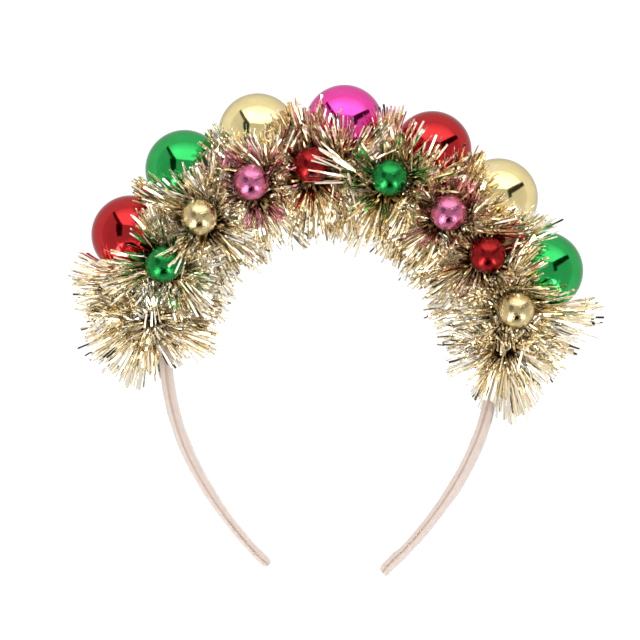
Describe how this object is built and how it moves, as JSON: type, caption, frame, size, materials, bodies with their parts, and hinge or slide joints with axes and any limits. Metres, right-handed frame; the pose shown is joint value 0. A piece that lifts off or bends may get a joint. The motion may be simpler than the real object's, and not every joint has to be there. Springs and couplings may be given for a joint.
{
  "type": "christmas bauble headband",
  "caption": "Bent hair band covered in satin ribbon, its crown wound with a foil tinsel garland that carries an outer row of large baubles and a front row of small ones.",
  "frame": {"origin": "on the floor under the middle of the whole headband's box, which lies on its large baubles", "axes": "+X to the right as seen from the front, +Y from the two tips towards the crown, +Z from the back to the front, where the small baubles are"},
  "size_m": [0.1894, 0.1878, 0.0431],
  "materials": {
    "ribbon": "satin ribbon",
    "foil": "cut metallised foil",
    "red_lacquer": "mirror lacquer",
    "green_lacquer": "mirror lacquer",
    "gold_lacquer": "mirror lacquer",
    "magenta_lacquer": "mirror lacquer",
    "pink_lacquer": "mirror lacquer",
    "cap_metal": "stamped and bright"
  },
  "bodies": {
    "root": {"headband": "ribbon", "tinsel_turn_1": "foil", "tinsel_turn_2": "foil", "tinsel_turn_3": "foil", "tinsel_turn_4": "foil", "tinsel_turn_5": "foil", "tinsel_turn_6": "foil", "tinsel_turn_7": "foil", "tinsel_turn_8": "foil", "tinsel_turn_9": "foil", "large_bauble_1": "red_lacquer", "large_bauble_2": "green_lacquer", "large_bauble_3": "gold_lacquer", "large_bauble_4": "magenta_lacquer", "large_bauble_5": "red_lacquer", "large_bauble_6": "gold_lacquer", "large_bauble_7": "green_lacquer", "large_cap_1": "cap_metal", "large_cap_2": "cap_metal", "large_cap_3": "cap_metal", "large_cap_4": "cap_metal", "large_cap_5": "cap_metal", "large_cap_6": "cap_metal", "large_cap_7": "cap_metal", "small_bauble_1": "green_lacquer", "small_bauble_2": "gold_lacquer", "small_bauble_3": "pink_lacquer", "small_bauble_4": "red_lacquer", "small_bauble_5": "green_lacquer", "small_bauble_6": "pink_lacquer", "small_bauble_7": "red_lacquer", "small_bauble_8": "gold_lacquer", "small_cap_1": "cap_metal", "small_cap_2": "cap_metal", "small_cap_3": "cap_metal", "small_cap_4": "cap_metal", "small_cap_5": "cap_metal", "small_cap_6": "cap_metal", "small_cap_7": "cap_metal", "small_cap_8": "cap_metal"}
  },
  "joints": []
}
